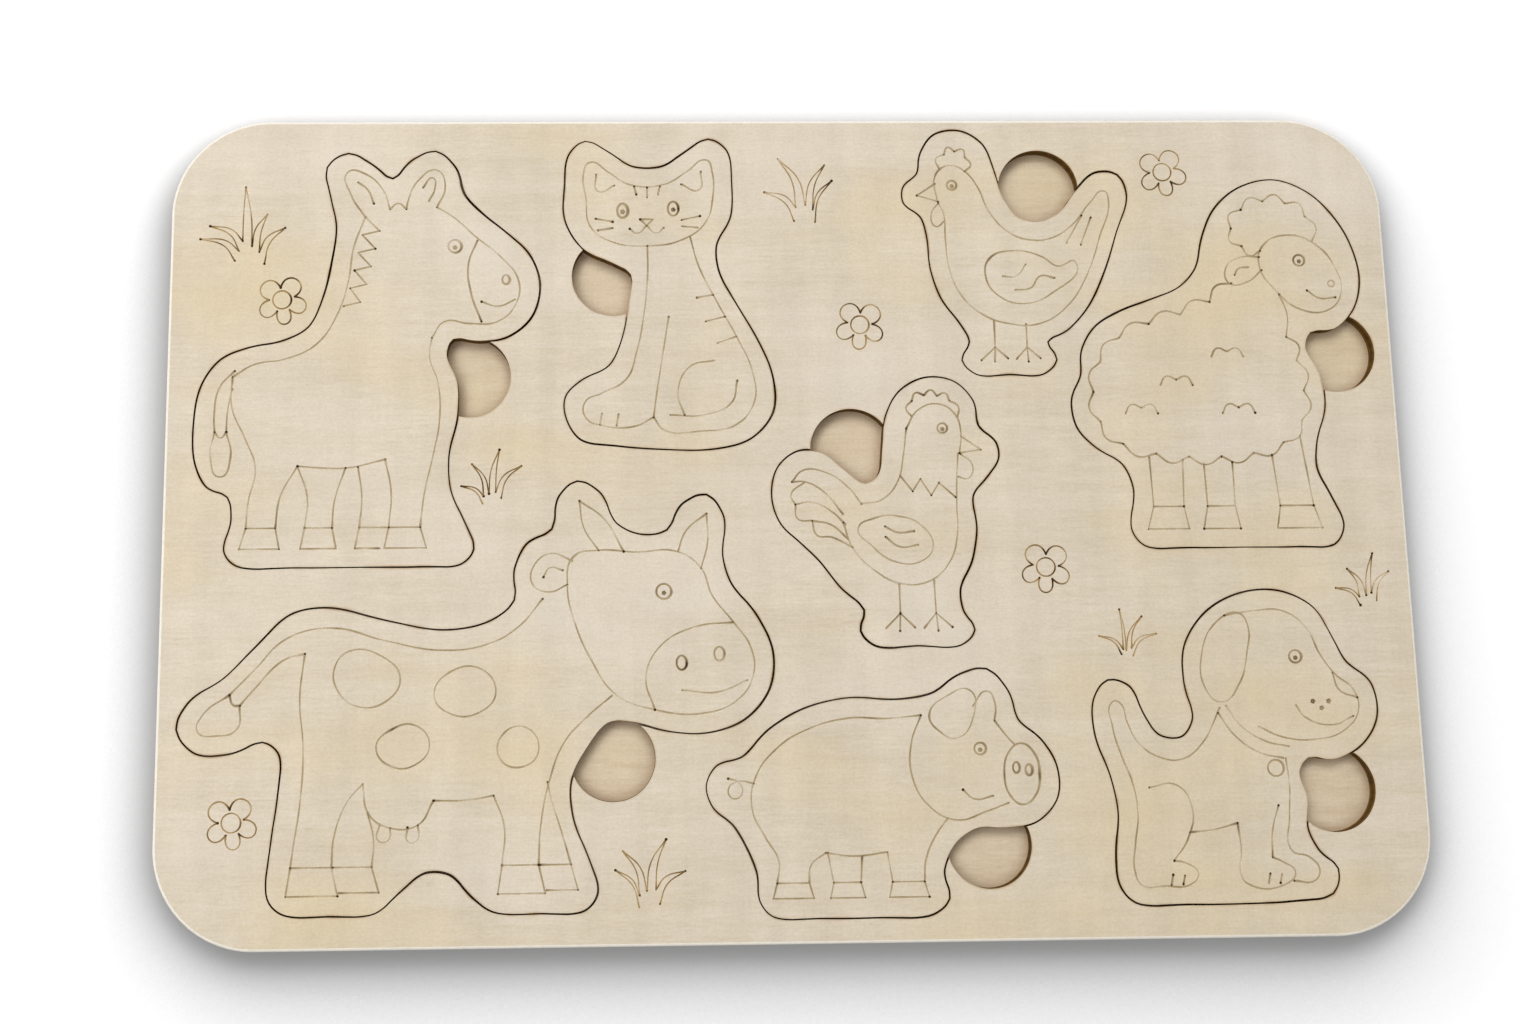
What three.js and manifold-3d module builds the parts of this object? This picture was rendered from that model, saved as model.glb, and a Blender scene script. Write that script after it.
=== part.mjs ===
// Wooden tray puzzle: a backing board, a tray frame with eight pockets, and eight loose animal pieces.
// Millimetres. +X runs along the board, +Y away from the player, +Z up, with the underside on Z = 0.
import * as THREE from "three";
import { mergeVertices } from "three/addons/utils/BufferGeometryUtils.js";
import Module from "manifold-3d";

const wasm = await Module();
wasm.setup();

// Driving dimensions
const BOARD_LENGTH = 300; // along X, and the scale that the whole layout is drawn at
const BACKING_THICKNESS = 3;
const SHEET_THICKNESS = 3; // the sheet that the frame and the animals are cut from
const FIT_GAP = 0.4; // between an animal and its pocket, all round
const FINGER_RADIUS = 10; // of the round notch that lets a finger under a piece
const CORNER_RADIUS = 24; // of the board
const CUT_OVERRUN = 1; // how far a cutter runs past both faces of the sheet
const STEPS_PER_SPAN = 3; // facets between two points of an outline
const ARC_STEPS = 12; // facets in a quarter turn

// The grid that the layout is drawn on, counted from the middle of the board
const LENGTH_STEPS = 600;
const WIDTH_STEPS = 400;
const GRID = BOARD_LENGTH / LENGTH_STEPS;

// Colours of the pale plywood
const SHEET_COLOUR = 0xdccfb6;
const BACKING_COLOUR = 0xd2c0a1;
const PIECE_COLOUR = 0xe0d3ba;
const WOOD_ROUGHNESS = 0.8;

// Each outline runs anticlockwise on the grid from the piece's own lower left corner, and place is where
// that corner lies on the grid. From the same corner, finger is the middle of the piece's round notch, and
// reach the point inside its pocket that the notch's sides run on to.
const ANIMALS = [
  {
    name: "donkey",
    place: [-286, -22],
    finger: [132, 92],
    reach: [96, 120],
    outline: [
      [16, 8], [22, 1], [48, 0], [80, 0], [112, 0], [128, 1], [134, 8], [130, 20], [123, 36], [122, 54],
      [126, 72], [126, 90], [121, 103], [124, 111], [136, 110], [150, 112], [162, 122], [166, 138],
      [161, 153], [150, 164], [138, 174], [129, 184], [125, 197], [115, 206], [103, 201], [94, 192],
      [84, 199], [72, 205], [62, 198], [64, 183], [67, 168], [65, 150], [61, 132], [54, 117], [41, 110],
      [26, 107], [12, 101], [3, 88], [0, 70], [1, 51], [7, 39], [17, 34], [19, 22],
    ],
  },
  {
    name: "cat",
    place: [-108, 34],
    finger: [24, 86],
    reach: [56, 102],
    outline: [
      [1, 16], [8, 5], [24, 2], [48, 0], [72, 0], [90, 5], [101, 18], [101, 36], [94, 54], [84, 72],
      [76, 88], [75, 102], [82, 116], [83, 134], [81, 150], [72, 156], [60, 149], [49, 142], [34, 142],
      [23, 149], [11, 155], [3, 148], [1, 132], [1, 115], [10, 100], [24, 93], [33, 87], [32, 74],
      [29, 56], [22, 41], [9, 34], [1, 26],
    ],
  },
  {
    name: "hen",
    place: [60, 70],
    finger: [68, 94],
    reach: [66, 48],
    outline: [
      [27, 7], [34, 0], [50, 0], [66, 0], [73, 7], [69, 16], [79, 22], [90, 34], [99, 52], [106, 72],
      [112, 90], [108, 101], [97, 102], [87, 93], [78, 82], [67, 77], [57, 80], [50, 90], [46, 104],
      [41, 117], [30, 124], [17, 122], [10, 112], [8, 102], [1, 95], [1, 87], [9, 80], [12, 69], [13, 54],
      [18, 38], [27, 25], [31, 16],
    ],
  },
  {
    name: "sheep",
    place: [140, -16],
    finger: [131, 96],
    reach: [94, 112],
    outline: [
      [26, 9], [32, 1], [52, 0], [80, 0], [108, 0], [124, 1], [129, 10], [124, 24], [118, 38], [119, 52],
      [124, 68], [123, 85], [117, 98], [120, 106], [132, 108], [142, 118], [146, 133], [143, 150],
      [136, 164], [124, 177], [107, 184], [89, 180], [76, 169], [69, 154], [65, 139], [56, 129],
      [42, 123], [26, 117], [13, 109], [6, 97], [5, 85], [0, 73], [2, 59], [11, 49], [23, 41], [28, 28],
    ],
  },
  {
    name: "rooster",
    place: [-8, -62],
    finger: [39, 95],
    reach: [48, 56],
    outline: [
      [41, 7], [48, 0], [68, 0], [88, 0], [95, 7], [90, 16], [89, 27], [95, 40], [98, 56], [97, 72],
      [104, 81], [110, 90], [109, 98], [101, 106], [99, 118], [90, 128], [76, 130], [63, 123], [56, 110],
      [54, 95], [52, 83], [45, 78], [36, 84], [25, 93], [13, 94], [3, 86], [0, 72], [4, 59], [13, 50],
      [22, 41], [32, 28], [43, 17],
    ],
  },
  {
    name: "cow",
    place: [-290, -184],
    finger: [204, 70],
    reach: [176, 104],
    outline: [
      [44, 8], [51, 1], [72, 0], [93, 1], [104, 10], [116, 19], [128, 18], [138, 8], [148, 1], [170, 0],
      [190, 1], [196, 9], [192, 24], [185, 42], [184, 60], [192, 76], [202, 87], [214, 87], [230, 83],
      [248, 82], [266, 88], [278, 102], [280, 120], [272, 138], [261, 152], [257, 166], [258, 184],
      [250, 195], [238, 190], [231, 178], [218, 176], [206, 182], [199, 196], [188, 202], [179, 194],
      [176, 179], [164, 172], [158, 159], [158, 145], [146, 135], [124, 131], [96, 136], [70, 142],
      [52, 139], [37, 125], [21, 109], [6, 99], [0, 86], [9, 75], [26, 75], [40, 80], [48, 74], [48, 56],
      [45, 32],
    ],
  },
  {
    name: "pig",
    place: [-42, -188],
    finger: [132, 32],
    reach: [112, 64],
    outline: [
      [24, 8], [30, 1], [52, 0], [80, 0], [104, 1], [112, 8], [110, 20], [116, 33], [127, 40], [140, 40],
      [155, 43], [165, 54], [165, 69], [158, 81], [148, 90], [144, 103], [134, 114], [120, 111],
      [108, 103], [90, 100], [68, 101], [46, 96], [29, 86], [17, 74], [5, 70], [0, 61], [3, 51], [12, 43],
      [19, 31], [23, 20],
    ],
  },
  {
    name: "dog",
    place: [142, -184],
    finger: [113, 52],
    reach: [80, 88],
    outline: [
      [9, 9], [16, 1], [40, 0], [68, 0], [92, 1], [109, 4], [112, 15], [104, 23], [99, 34], [100, 48],
      [97, 60], [102, 67], [114, 66], [128, 73], [136, 86], [134, 102], [123, 112], [117, 124],
      [109, 138], [93, 146], [74, 145], [57, 136], [46, 120], [45, 102], [48, 86], [42, 77], [31, 78],
      [24, 88], [18, 101], [8, 104], [1, 95], [1, 78], [7, 60], [10, 42], [8, 24],
    ],
  },
];

/** Points round a closed cut line, each moved outwards by gap. */
function cutLine(outline, gap = 0) {
  const corners = outline.map(([x, y]) => new THREE.Vector3(x * GRID, y * GRID, 0));
  const curve = new THREE.CatmullRomCurve3(corners, true, "centripetal");
  const count = corners.length * STEPS_PER_SPAN;
  return Array.from({ length: count }, (_, step) => {
    const point = curve.getPoint(step / count);
    const along = curve.getTangent(step / count);
    return new THREE.Vector2(point.x + gap * along.y, point.y - gap * along.x);
  });
}

/** A rectangle with round corners, round the middle of the board. */
function roundedRectangle(length, width, radius) {
  const quarter = Math.PI / 2;
  const x = length / 2 - radius;
  const y = width / 2 - radius;
  const shape = new THREE.Shape();
  shape.absarc(x, y, radius, 0, quarter);
  shape.absarc(-x, y, radius, quarter, 2 * quarter);
  shape.absarc(-x, -y, radius, 2 * quarter, 3 * quarter);
  shape.absarc(x, -y, radius, 3 * quarter, 4 * quarter);
  shape.closePath();
  return shape;
}

/** A flat sheet of the given outline, from bottom up. */
function sheet(shape, thickness, bottom = 0) {
  const options = { depth: thickness, bevelEnabled: false, curveSegments: ARC_STEPS };
  return new THREE.ExtrudeGeometry(shape, options).translate(0, 0, bottom);
}

function toSolid(geometry) {
  const bare = geometry.clone();
  bare.deleteAttribute("normal");
  bare.deleteAttribute("uv");
  const merged = mergeVertices(bare);
  const vertProperties = new Float32Array(merged.attributes.position.array);
  const triVerts = new Uint32Array(merged.index.array);
  return new wasm.Manifold(new wasm.Mesh({ numProp: 3, vertProperties, triVerts }));
}

function toGeometry(solid) {
  const { vertProperties, triVerts } = solid.getMesh();
  const geometry = new THREE.BufferGeometry();
  geometry.setAttribute("position", new THREE.BufferAttribute(vertProperties, 3));
  geometry.setIndex(new THREE.BufferAttribute(triVerts, 1));
  geometry.computeVertexNormals();
  return geometry;
}

function wood(color) {
  return new THREE.MeshStandardMaterial({ color, roughness: WOOD_ROUGHNESS, metalness: 0 });
}

function addPiece(group, name, geometry, color, bottom) {
  const mesh = new THREE.Mesh(geometry, wood(color));
  mesh.name = name;
  mesh.position.z = bottom;
  group.add(mesh);
  return mesh;
}

/** A round notch whose two sides run straight on to a point inside the pocket, so no sliver is left between. */
function notchShape(middle, reach) {
  const run = reach.clone().sub(middle);
  const heading = run.angle();
  const spread = Math.acos(FINGER_RADIUS / run.length());
  const shape = new THREE.Shape();
  shape.absarc(middle.x, middle.y, FINGER_RADIUS, heading + spread, heading - spread + 2 * Math.PI);
  shape.lineTo(reach.x, reach.y);
  shape.closePath();
  return shape;
}

/** The two shapes that open the frame for one animal: its own pocket and the finger notch. */
function openings({ place, finger, reach, outline }) {
  const corner = new THREE.Vector2(...place).multiplyScalar(GRID);
  const onBoard = (point) => new THREE.Vector2(...point).multiplyScalar(GRID).add(corner);
  const pocket = new THREE.Shape(cutLine(outline, FIT_GAP).map((point) => point.add(corner)));
  return [pocket, notchShape(onBoard(finger), onBoard(reach))];
}

const puzzle = new THREE.Group();
const boardShape = roundedRectangle(BOARD_LENGTH, WIDTH_STEPS * GRID, CORNER_RADIUS);
addPiece(puzzle, "backing_board", sheet(boardShape, BACKING_THICKNESS), BACKING_COLOUR, 0);

const cutDepth = SHEET_THICKNESS + 2 * CUT_OVERRUN;
const frame = ANIMALS.flatMap(openings)
  .map((shape) => toSolid(sheet(shape, cutDepth, -CUT_OVERRUN)))
  .reduce((solid, cutter) => solid.subtract(cutter), toSolid(sheet(boardShape, SHEET_THICKNESS)));
addPiece(puzzle, "tray_frame", toGeometry(frame), SHEET_COLOUR, BACKING_THICKNESS);

for (const { name, place, outline } of ANIMALS) {
  const shape = new THREE.Shape(cutLine(outline));
  const mesh = addPiece(puzzle, name, sheet(shape, SHEET_THICKNESS), PIECE_COLOUR, BACKING_THICKNESS);
  mesh.position.x = place[0] * GRID;
  mesh.position.y = place[1] * GRID;
}

export default puzzle;
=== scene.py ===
"""Dresses the plywood animal puzzle: sanded faces, burnt cuts, engraved drawings and a plain studio.

Each sheet is rebuilt from the outline of the solid that it stands for. The laser's tracks are swept along
the strokes by Geometry Nodes and then pressed into the sheet's upper face as real grooves.
"""
import logging
import math
from dataclasses import dataclass, field
from enum import Enum
from typing import Any

import bmesh
import bpy
from bpy.types import ID, Material, Mesh, Node, NodeTree, Object, World
from bpy.types import NodeSocket as Socket
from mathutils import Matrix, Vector, noise
from mathutils.bvhtree import BVHTree
from mathutils.geometry import delaunay_2d_cdt


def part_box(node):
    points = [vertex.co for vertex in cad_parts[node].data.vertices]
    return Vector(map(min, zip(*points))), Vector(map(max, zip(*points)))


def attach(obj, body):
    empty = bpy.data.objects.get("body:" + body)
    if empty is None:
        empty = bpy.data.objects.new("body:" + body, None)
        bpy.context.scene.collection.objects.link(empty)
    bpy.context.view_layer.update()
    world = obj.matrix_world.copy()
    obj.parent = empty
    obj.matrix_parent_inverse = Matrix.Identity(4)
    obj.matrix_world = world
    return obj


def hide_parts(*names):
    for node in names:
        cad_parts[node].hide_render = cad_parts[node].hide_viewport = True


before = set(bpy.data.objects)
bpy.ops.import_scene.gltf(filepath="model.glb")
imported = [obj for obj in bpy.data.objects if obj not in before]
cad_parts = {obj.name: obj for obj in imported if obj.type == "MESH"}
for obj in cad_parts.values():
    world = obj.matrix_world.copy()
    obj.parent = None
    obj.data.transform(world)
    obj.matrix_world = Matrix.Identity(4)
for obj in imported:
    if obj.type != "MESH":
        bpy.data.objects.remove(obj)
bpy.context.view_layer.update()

log = logging.getLogger("animal_puzzle")

Point = tuple[float, float]
Triple = tuple[float, float, float]
Colour = Triple  # red, green and blue as a screen shows them, 0 to 255
Key = str | int
Inputs = dict[Key, Any]
Tracks = tuple[list[Vector], list[tuple[int, int]], list[tuple[int, ...]]]

MM = 0.001
UP = Vector((0.0, 0.0, 1.0))
SHEET_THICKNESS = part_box("tray_frame")[1].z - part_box("tray_frame")[0].z
NOISE_SPAN = (0.3, 0.7)  # where nearly all values of a noise lie
NOISE_MIDDLE = 0.5
RING_TURNS = [math.tau * step / 8 for step in range(8)]
RING_HEAT = 1.3  # how much stronger the laser burns a small ring
PUPIL_RADIUS = 0.32
PUPIL_DROP = 0.2  # how far a pupil sits below the middle, as a share of the eye
CURVE_STEPS = 9  # steps between two points of a smooth stroke
WELD = MM / 1000  # points of a solid closer than this are one
UPWARD = 0.9  # the least Z of an upper face's normal
FACET_PARTS = 3  # steps that a facet of an outline is rounded with
LONGEST_FACET = 8 * MM  # from here on a facet is a straight run
SHARP_TURN = math.radians(28)  # from here on a corner stays sharp
TIGHTEST_MITRE = 0.6  # keeps a corner from moving too far when its outline is set in
SCORCH_CLEAR = 1.2  # the wood that a scorched rim needs, as a share of its width
TRACKS_BELOW = -1.0  # a height below all tracks, in millimetres
CLOSE = 1e-5  # points of a face closer than this are one, in millimetres


# Strokes of the engraved drawings

class Line(Enum):
    """How an engraved stroke runs through its points."""

    CURVE = "open and smooth"
    LOOP = "closed and smooth"
    STRAIGHT = "straight from point to point"


@dataclass(frozen=True)
class Stroke:
    """One engraved stroke, in millimetres from the lower left corner of its piece."""

    line: Line
    points: tuple[Point, ...]
    heat: float = 1.0


def curve(*points: Point) -> Stroke:
    """An open smooth stroke."""
    return Stroke(Line.CURVE, points)


def loop(*points: Point) -> Stroke:
    """A closed smooth stroke."""
    return Stroke(Line.LOOP, points)


def straight(*points: Point) -> Stroke:
    """A stroke of straight runs."""
    return Stroke(Line.STRAIGHT, points)


def legs(*sides: tuple[Point, ...]) -> list[Stroke]:
    """Straight legs, each drawn down one side and up the other, and then the line above each hoof."""
    hooves = [straight(side[1], side[4]) for side in sides]
    return [*(straight(*side) for side in sides), *hooves]


def ring(x: float, y: float, radius: float, tall: float = 1.0) -> Stroke:
    """A round closed stroke, or one that is tall times as high as it is wide."""
    points = ((x + radius * math.cos(turn), y + radius * tall * math.sin(turn)) for turn in RING_TURNS)
    return Stroke(Line.LOOP, tuple(points), RING_HEAT)


def eye(x: float, y: float, radius: float, tall: float = 1.0) -> list[Stroke]:
    """A ringed eye with a burnt dot for its pupil."""
    return [ring(x, y, radius, tall), ring(x, y - PUPIL_DROP * radius, PUPIL_RADIUS)]


def scallops(bulge: float, *cusps: Point) -> list[Stroke]:
    """Round bumps between neighbouring cusps, as on wool.

    Args:
        bulge: How far each bump stands out to the right of the path, negative for the left.
        cusps: The points where two bumps meet.

    Returns:
        One stroke for each bump.
    """
    bumps = []
    for (x0, y0), (x1, y1) in zip(cusps, cusps[1:]):
        length = math.hypot(x1 - x0, y1 - y0)
        top = ((x0 + x1) / 2 + bulge * (y1 - y0) / length, (y0 + y1) / 2 - bulge * (x1 - x0) / length)
        bumps.append(curve((x0, y0), top, (x1, y1)))
    return bumps


@dataclass(frozen=True)
class Tuft:
    """A tuft of grass: pointed blades that leave the ground upright and bend towards their tips.

    The tips and the valleys between neighbouring blades run from left to right, in millimetres from the
    middle of the tuft's foot.
    """

    x: float
    y: float
    tips: tuple[Point, ...]
    valleys: tuple[Point, ...]
    belly: Point = (0.36, 0.5)
    bow: float = 0.06
    most_bow: float = 0.17
    lift: float = 0.12

    def strokes(self) -> list[Stroke]:
        """Draws the blades, each belly bowed out by a share of the rise, but not by too much of the lean.

        Returns:
            Two strokes for each blade.
        """
        strokes = []
        for tip, left, right in zip(self.tips, self.valleys, self.valleys[1:]):
            for foot in (left, right):
                lean = tip[0] - foot[0]
                rise = tip[1] - foot[1]
                bow = math.copysign(min(self.bow * rise, self.most_bow * abs(lean)), lean)
                belly = (foot[0] + self.belly[0] * lean - bow,
                         foot[1] + self.belly[1] * rise + self.lift * abs(lean))
                strokes.append(curve(*((self.x + x, self.y + y) for x, y in (foot, belly, tip))))
        return strokes


# The drawings, in millimetres from each piece's lower left corner

DRAWINGS: dict[str, list[Stroke]] = {
    "donkey": [
        curve((57, 56), (60, 60), (66, 59.5), (73, 60), (77.5, 64.5), (78, 70.5), (74, 76), (67.5, 81.5),
              (62, 86.5), (58, 89)),
        curve((58, 89), (60, 94), (58, 98.5), (53.5, 96), (51, 91), (50.5, 88.5)),
        curve((56, 90.5), (57.5, 94), (57, 96.5), (54.5, 94)),
        curve((46.5, 88.5), (45, 93), (40.5, 97.5), (36, 98), (37, 92), (40.5, 86.5)),
        curve((42.5, 90), (41, 93.5), (38.5, 95.5)),
        curve((50.5, 88.5), (48.5, 90), (46.5, 88.5)),
        curve((40.5, 86.5), (37.8, 79), (36.5, 70), (34, 62), (29, 54.5), (22, 51), (14, 49.5), (9, 46.5)),
        curve((9, 46.5), (9, 39), (12.5, 31), (15, 24), (13.5, 16), (13, 9.5)),
        straight((13, 9.5), (11.5, 4.5), (21, 4.5), (20, 9.5), (13, 9.5)),
        curve((20, 9.5), (21, 17), (25, 24.5)),
        curve((25, 24.5), (27.5, 17), (27, 9.5)),
        straight((27, 9.5), (26, 4.5), (34.5, 4.5), (33.5, 9.5), (27, 9.5)),
        curve((33.5, 9.5), (34, 16), (36.5, 24)),
        curve((25, 24.5), (31, 24), (37, 24), (46, 26)),
        curve((46, 26), (47.5, 18), (47, 9.5)),
        straight((47, 9.5), (46, 4.5), (56, 4.5), (54.5, 9.5), (47, 9.5)),
        curve((54.5, 9.5), (55.5, 18), (57.5, 27), (59, 36), (58.5, 45), (56.5, 51), (57, 56)),
        curve((39.5, 24.2), (40.5, 17), (40, 9.5)),
        straight((46.6, 9.5), (40, 9.5), (39, 4.5), (45, 4.5)),
        curve((9.5, 48), (6, 44), (4.8, 37), (5, 33)),
        curve((9, 43.5), (8, 38), (7.8, 33)),
        curve((5, 33), (4.2, 27), (6.5, 22), (9, 27), (7.8, 33)),
        curve((7.8, 33), (6.5, 31.5), (5, 33)),
        *eye(62.5, 79, 1.6),
        curve((68, 80.5), (65.8, 74.5), (66.5, 67), (69, 60)),
        ring(75, 70.5, 0.9, 1.3),
        curve((77.3, 65.5), (73, 63.8), (69, 65)),
        straight((40.5, 86.5), (44, 83), (39.8, 82), (43, 78.5), (38.8, 77.5), (42, 74), (38, 73),
                 (41, 69.5), (37, 68.5), (39.5, 65), (35.5, 64)),
    ],
    "cat": [
        loop((6.5, 56), (5.5, 63), (5, 70), (6.5, 72.5), (11, 70), (16, 66.8), (25, 66.8), (30.5, 70),
             (35.5, 73), (36.8, 70), (36.8, 63), (35, 57), (29, 52.5), (20.5, 51), (12, 52)),
        curve((8, 69.5), (8.5, 65), (12.5, 66.5)),
        curve((34, 70), (33.5, 65.3), (29, 66.8)),
        *eye(14.5, 60, 1.3, 1.4),
        *eye(27, 60.5, 1.3, 1.4),
        straight((18.8, 57.8), (22, 57.8), (20.4, 56.2), (18.8, 57.8)),
        curve((16.2, 55.4), (18, 54.2), (20.4, 56.2)),
        curve((20.4, 56.2), (22.8, 54.2), (24.6, 55.6)),
        curve((12, 57.2), (7.8, 58)),
        curve((12, 55.6), (8.4, 55)),
        curve((29, 57.6), (33.6, 58.6)),
        curve((29, 56), (33, 55.6)),
        curve((20.5, 51), (20.5, 44), (19.5, 34), (17.5, 24), (15, 17.5), (9, 14), (5, 12), (5, 8), (9, 6),
              (17, 5.8), (21.5, 8)),
        curve((8.5, 6.2), (9, 9)),
        curve((12.5, 6), (13, 8.8)),
        curve((25.5, 33), (24, 24), (22.5, 15), (21.5, 8)),
        curve((31, 53.5), (33, 46), (37, 37.5), (42, 28), (45.8, 19), (46, 11.5), (41.5, 6), (33, 4.5),
              (24, 4.8), (21.5, 8)),
        curve((25.5, 8.5), (34, 8.5), (40.5, 11.5), (42, 17)),
        curve((29, 8.5), (27.5, 14), (30.5, 20.5), (36.5, 22)),
        curve((36.5, 38.5), (32.5, 37.8)),
        curve((39.3, 33), (34.5, 31.8)),
        curve((42, 28), (37.3, 26.3)),
        curve((20.6, 66), (20.6, 63.4)),
        curve((17.4, 66.3), (17.9, 64.2)),
        curve((23.8, 66.3), (23.3, 64.2)),
    ],
    "hen": [
        loop((9.5, 52.5), (8, 49.5), (8.4, 46), (8.8, 44), (10, 41.5), (10.3, 34.5), (11, 27), (13.5, 20.5),
             (18.5, 15.5), (25, 13), (33, 13), (40, 17.5), (45, 25), (48.8, 35), (51.5, 44.5), (50.5, 46.8),
             (47, 44), (42.5, 38.5), (37.5, 35), (32, 34.2), (26.5, 36), (21.5, 41.5), (18.8, 48),
             (15.8, 52), (12.5, 53.5)),
        straight((8.2, 48.8), (3.6, 45.8), (8.8, 44.2)),
        *scallops(-1.5, (9.4, 52.8), (10.8, 56.4), (13.4, 57.2), (16, 55.6), (15.8, 52)),
        *eye(12.4, 48.4, 1.2),
        curve((8.9, 43.8), (7, 41), (8, 37.8), (10.3, 39.2)),
        loop((21, 29.5), (20, 24.5), (23, 20), (29, 18), (36, 20.5), (42.5, 28.5), (38, 27.5), (34, 30),
             (27.5, 31.5)),
        curve((27, 21.5), (31, 22), (33.5, 25), (37, 24.5)),
        curve((24, 25), (27.5, 25), (30, 28)),
        curve((44, 33), (46.8, 40)),
        curve((40.5, 33.5), (44.5, 40.5)),
        straight((21.5, 13.8), (21.5, 7), (18, 3.8)),
        straight((24.6, 4.2), (21.5, 7), (21.3, 3.4)),
        straight((29.4, 12.8), (29.4, 7), (26.6, 4)),
        straight((32.6, 4.2), (29.4, 7), (29.6, 3.4)),
    ],
    "sheep": [
        *scallops(2.0, (41.2, 65.7), (35.5, 61), (28, 57.8), (20, 55.5), (12.5, 52), (7.5, 46), (5.4, 38.5),
                  (6.8, 31), (12, 25.5), (20, 23), (28, 22.2), (36, 22.2), (44, 23), (51.5, 25.6),
                  (56.5, 31), (57.4, 38.5), (56.2, 46), (54, 52)),
        loop((49.5, 75), (56, 78), (63, 75.5), (67.5, 69.5), (68.5, 63), (65, 58.8), (58, 59), (52, 64),
             (48.5, 70)),
        *scallops(-2.0, (49, 74), (44.4, 75.2), (42, 79.8), (44.8, 84.6), (50.4, 86.8), (56, 86.2),
                  (60.8, 82.8), (62.2, 76.4)),
        curve((48.6, 72.4), (44.4, 72.4), (40.2, 69.8), (40.6, 65.8), (45.2, 66), (49, 69)),
        curve((45.8, 69.8), (43.2, 69.4), (42.2, 67.8)),
        *eye(58.5, 71.5, 1.4),
        ring(66.2, 65.5, 0.8),
        curve((67, 62), (63, 61.8), (60, 63.8)),
        curve((53, 62.8), (54.6, 57.5), (54, 52)),
        *legs(((18.2, 22.2), (18.6, 10), (17, 4.5), (27, 4.5), (26, 10), (26.4, 21.4)),
              ((31.5, 20.4), (31.8, 10), (30.6, 4.5), (39.6, 4.5), (38.6, 10), (38.5, 20.8)),
              ((48.4, 22.5), (49.6, 10), (48.6, 4.5), (59.6, 4.5), (57.8, 10), (55.6, 27.2))),
        *scallops(-1.6, (22, 40), (26, 41.4), (30, 40)),
        *scallops(-1.6, (35, 47), (39, 48.4), (43, 47)),
        *scallops(-1.6, (37, 33), (41, 34.4), (45, 33)),
        *scallops(-1.6, (13, 33), (17, 34.4), (21, 33)),
    ],
    "rooster": [
        curve((33, 53), (36, 57.5), (41, 59), (45, 56.5), (46.3, 52), (45.8, 46.8)),
        straight((46.2, 51), (51, 47.6), (45.8, 46.8)),
        curve((46, 46.6), (48.8, 43.8), (47.8, 40.6), (45.2, 41)),
        curve((45.4, 46.8), (44.9, 41), (44.6, 34), (44.5, 27), (42.5, 20.5), (38, 16), (31, 15),
              (24, 18.5), (19, 24), (17, 30)),
        curve((33, 53), (32, 46), (30.5, 40), (26.5, 35.5), (21.5, 34.5)),
        *scallops(-1.4, (34.4, 56), (34.6, 59.8), (37.6, 61.2), (40.8, 61), (43.8, 59.8), (45.6, 55.6)),
        *eye(41.8, 53, 1.2),
        straight((31, 41.5), (34, 37.5), (36, 40.5), (38.5, 36.5), (40.5, 39.5), (44.4, 36)),
        loop((24.5, 31), (30, 31.5), (36, 29), (38.5, 24), (35.5, 20.5), (29, 20.5), (23.5, 24.5),
             (20.5, 28.5)),
        curve((35, 24.5), (30.5, 24), (27, 26.5)),
        curve((34, 27.8), (30, 27.5), (27, 29)),
        curve((21.5, 34.5), (18.5, 38.5), (13, 42.3), (7.5, 42.8), (4.8, 40)),
        curve((4.8, 40), (8, 40), (12.5, 37.5), (17, 32)),
        curve((8, 40), (4.5, 36.8), (5.5, 34.5)),
        curve((5.5, 34.5), (9.5, 35), (14.5, 32.5), (17.5, 29.5)),
        curve((5.5, 34.5), (6, 31), (9.5, 30.5)),
        curve((9.5, 30.5), (14, 29.5), (18, 26)),
        curve((9.5, 30.5), (10.5, 27), (14, 26.5), (19, 24)),
        straight((30, 15), (30, 8), (26.4, 4.4)),
        straight((33.4, 4.6), (30, 8), (29.8, 3.8)),
        straight((38.4, 16), (38.6, 8), (35.6, 4.4)),
        straight((42.4, 4.6), (38.6, 8), (39, 3.8)),
    ],
    "cow": [
        curve((85.6, 73), (80, 66.5), (73, 62.5), (62, 61), (48, 63.5), (36, 66.5), (25, 64), (17.5, 56.5),
              (12, 51)),
        curve((29.5, 60.5), (24.5, 59), (18, 52.5), (14.5, 48.5)),
        curve((12, 51), (6, 46.5), (4.8, 42.5), (9, 41.5), (14, 43), (14.5, 48.5)),
        curve((14.5, 48.5), (13, 48.6), (12, 51)),
        curve((29.5, 60.5), (28.5, 50), (29.5, 38), (29, 26), (27.5, 15), (27, 11)),
        straight((27, 11), (26, 4.5), (38, 4.5), (36.5, 11), (27, 11)),
        curve((36.5, 11), (37, 18), (40, 26), (43.5, 30)),
        curve((44.7, 23.5), (46.2, 17), (45.8, 11)),
        straight((38.2, 5.2), (47.5, 5.2), (45.8, 11), (36.8, 11)),
        curve((43.5, 30), (45, 23), (50, 19.8), (56.5, 20.5), (60, 26)),
        curve((47.6, 20.8), (47.2, 17), (49.6, 17), (50, 19.8)),
        curve((54, 19.9), (54.2, 16.6), (56.4, 17), (56.4, 20.4)),
        curve((60, 26), (68, 26), (74, 27)),
        curve((74, 27), (76.5, 20), (76, 11)),
        straight((76, 11), (75, 4.5), (86, 4.5), (84.5, 11), (76, 11)),
        curve((84.5, 11), (85, 20), (87, 30), (90.5, 39), (96, 45), (102, 50)),
        straight((86.2, 5.2), (93.6, 5.2), (92, 11), (84.8, 11)),
        curve((92, 11), (90, 18), (87.5, 26), (86.6, 30)),
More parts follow.
